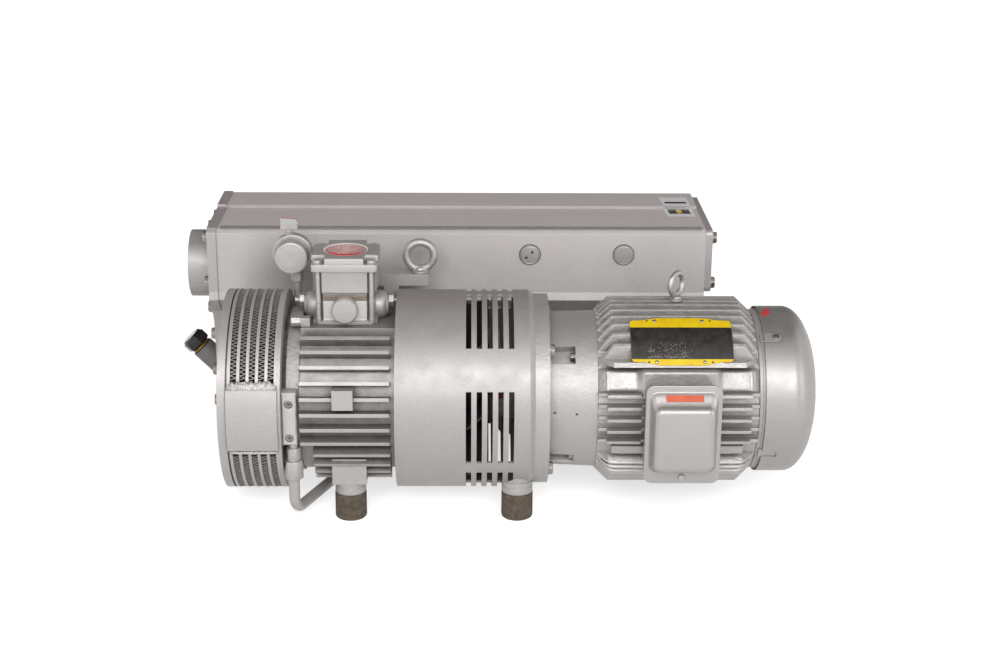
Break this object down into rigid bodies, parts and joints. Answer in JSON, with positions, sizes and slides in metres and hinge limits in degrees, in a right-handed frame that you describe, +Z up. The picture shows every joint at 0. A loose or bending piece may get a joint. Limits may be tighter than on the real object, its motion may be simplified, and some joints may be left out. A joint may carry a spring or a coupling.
{
  "type": "rotary vane vacuum pump",
  "caption": "Oil-sealed rotary vane vacuum pump driven by a flanged electric motor, with a ring-shaped oil cooler, slotted fan hood, top inlet port and oil separator tank behind.",
  "frame": {"origin": "centre of the bounding box's bottom face, on the floor under the feet", "axes": "+X along the shaft from the cooler to the motor, +Y from the front with the terminal box to the separator behind, +Z up"},
  "size_m": [0.9623, 0.5446, 0.413],
  "materials": {
    "painted_casting": "satin silver-grey paint",
    "painted_sheet": "satin silver-grey paint",
    "painted_iron": "satin silver-grey paint over cast iron",
    "cooler_metal": "satin painted aluminium",
    "fin_metal": "dusty bare aluminium",
    "steel": "zinc-plated steel",
    "cast_iron": "machined cast iron",
    "winding": "laminations with varnished windings",
    "rubber": "matte, brown-stained",
    "seal_rubber": "matte black",
    "vane": "carbon-filled composite",
    "fan_plastic": "matte black",
    "coupling_rubber": "matte red",
    "red_plastic": "satin red",
    "black_plastic": "gloss black",
    "filter_media": "pleated glass-fibre felt",
    "plate": "printed plate, bare of words",
    "sight": "clear window in a metal ring"
  },
  "bodies": {
    "root": {"cylinder": "painted_iron", "cover_fan_side": "painted_iron", "cover_drive_side": "painted_iron", "bearings": "steel", "cooler_tubes": "cooler_metal", "cooler_fins": "fin_metal", "cooler_header": "cooler_metal", "cooler_ring": "cooler_metal", "cooler_back_plate": "painted_sheet", "fan_guard": "steel", "fan_hood": "painted_casting", "bell_housing": "painted_iron", "motor_frame": "painted_casting", "motor_end_shields": "painted_iron", "motor_fan_cover": "painted_sheet", "terminal_box": "painted_sheet", "terminal_box_lid": "cooler_metal", "data_plate": "plate", "motor_stator": "winding", "inlet_housing": "cooler_metal", "inlet_flange": "cooler_metal", "inlet_ring": "red_plastic", "tie_bolts": "steel", "inlet_plug": "painted_sheet", "inlet_fittings": "steel", "ballast_pipe": "painted_sheet", "ballast_valve": "painted_sheet", "ballast_filter": "cooler_metal", "lifting_bar": "painted_sheet", "eye_bolts": "steel", "valve_spring": "steel", "oil_manifold": "painted_sheet", "manifold_screws": "steel", "oil_pipe": "painted_sheet", "pipe_fittings": "painted_sheet", "separator_housing": "painted_sheet", "separator_end_plate": "painted_sheet", "separator_end_cover": "painted_sheet", "exhaust_outlet": "painted_casting", "exhaust_filters": "filter_media", "hex_bolts": "steel", "housing_plugs": "painted_sheet", "filler_neck": "painted_sheet", "sight_glass": "sight", "drain_plug": "steel", "rubber_feet": "rubber", "foot_studs": "steel"},
    "pump_shaft": {"pump_rotor": "cast_iron", "vanes": "vane", "cooling_fan": "fan_plastic", "pump_coupling": "cast_iron", "coupling_fan": "fan_plastic"},
    "motor_shaft": {"motor_rotor": "steel", "motor_fan": "fan_plastic", "motor_coupling": "cast_iron", "coupling_star": "coupling_rubber"},
    "ballast_lever": {"ballast_lever": "steel"},
    "filler_slide": {"filler_seal": "seal_rubber"},
    "filler_cap": {"filler_cap": "black_plastic"},
    "inlet_valve": {"valve_plate": "steel"}
  },
  "joints": [
    {"name": "pump_spin", "type": "hinge", "parent": "root", "child": "pump_shaft", "pos_m": [0, -0.074, 0.168], "axis": [1, 0, 0], "continuous": true},
    {"name": "motor_spin", "type": "hinge", "parent": "root", "child": "motor_shaft", "pos_m": [0, -0.074, 0.168], "axis": [1, 0, 0], "continuous": true},
    {"name": "ballast_turn", "type": "hinge", "parent": "root", "child": "ballast_lever", "pos_m": [-0.287, -0.024, 0.4], "axis": [0, 0, 1], "range_deg": [0, 90]},
    {"name": "filler_rise", "type": "slide", "parent": "root", "child": "filler_slide", "axis": [-0.7071, 0, 0.7071], "range_m": [0, 0.012]},
    {"name": "filler_turn", "type": "hinge", "parent": "filler_slide", "child": "filler_cap", "pos_m": [-0.45, 0.156, 0.1507], "axis": [-0.7071, 0, 0.7071], "range_deg": [0, 1080]},
    {"name": "valve_lift", "type": "slide", "parent": "root", "child": "inlet_valve", "axis": [0, 0, 1], "range_m": [-0.008, 0], "stiffness_N_per_m": 400, "springref_m": 0.01, "deforming": ["valve_spring"]}
  ],
  "couplings": [
    {"joint": "motor_spin", "follows": "pump_spin", "ratio": 1},
    {"joint": "filler_turn", "follows": "filler_rise", "rad_per_m": 1570.8}
  ]
}
